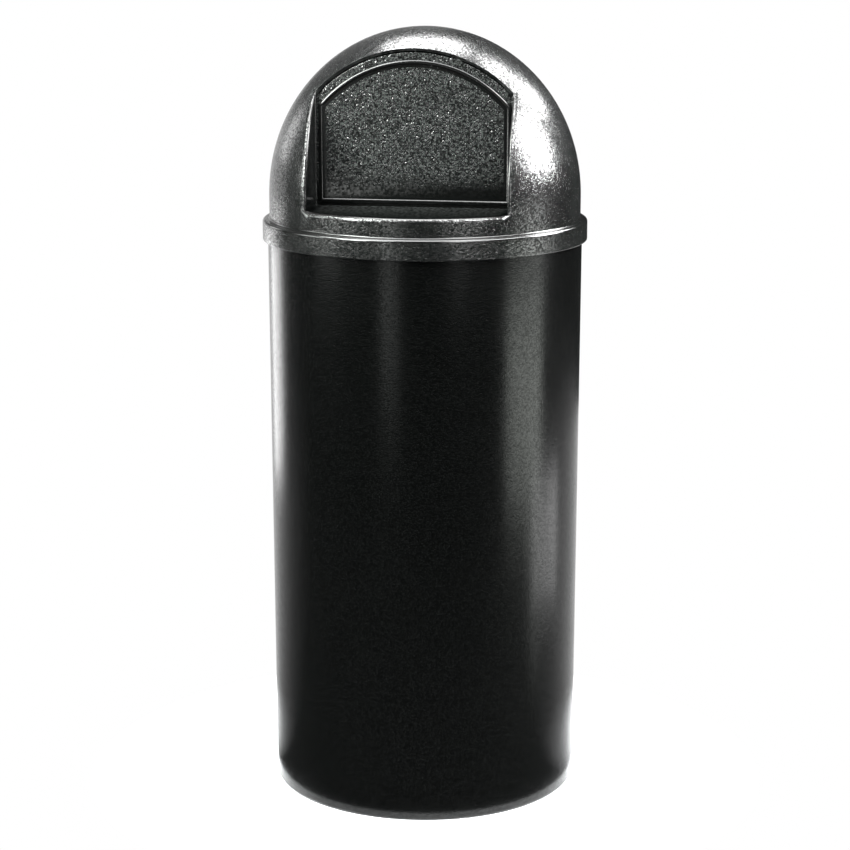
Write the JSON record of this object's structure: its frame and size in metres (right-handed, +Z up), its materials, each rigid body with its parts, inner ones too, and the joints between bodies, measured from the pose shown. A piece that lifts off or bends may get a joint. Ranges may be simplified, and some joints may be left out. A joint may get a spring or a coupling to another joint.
{
  "type": "dome-top waste can",
  "caption": "Tall round waste can with a lift-off dome top and a spring-return push door set in a recess of the dome.",
  "frame": {"origin": "centre of the footprint on the ground", "axes": "+Z up along the axis of the can, -Y towards the side that the push door faces"},
  "size_m": [0.3906, 0.3904, 0.927],
  "materials": {
    "can_plastic": "black moulded polyethylene, satin with fine pebble grain",
    "dome_plastic": "black moulded polyethylene, satin with fine pebble grain",
    "door_plastic": "black moulded polyethylene, coarser pebble grain",
    "band_rubber": "matte elastic",
    "bumper_rubber": "matte",
    "rod_steel": "bright drawn steel",
    "bracket_steel": "zinc plated",
    "screw_steel": "zinc plated",
    "spring_steel": "bright wire",
    "cap_plastic": "black push-on cap",
    "bush_nylon": "natural nylon"
  },
  "bodies": {
    "can": {"can_body": "can_plastic", "bag_band": "band_rubber"},
    "dome": {"dome_top": "dome_plastic", "hinge_rod": "rod_steel", "hinge_bracket_left": "bracket_steel", "hinge_bracket_right": "bracket_steel", "bracket_screws": "screw_steel", "rod_cap_left": "cap_plastic", "rod_cap_right": "cap_plastic", "door_spring_left": "spring_steel", "door_spring_right": "spring_steel", "door_bumper_left": "bumper_rubber", "door_bumper_right": "bumper_rubber"},
    "door": {"push_door": "door_plastic", "hinge_bush_left": "bush_nylon", "hinge_bush_right": "bush_nylon"}
  },
  "joints": [
    {"name": "dome_lift", "type": "slide", "parent": "can", "child": "dome", "axis": [0, 0, 1], "range_m": [0, 0.2]},
    {"name": "door_swing", "type": "hinge", "parent": "dome", "child": "door", "pos_m": [0, -0.068, 0.88232], "axis": [1, 0, 0], "range_deg": [0, 70], "stiffness_Nm_per_rad": 0.4, "springref_deg": -40.11, "deforming": ["door_spring_left", "door_spring_right"]}
  ]
}
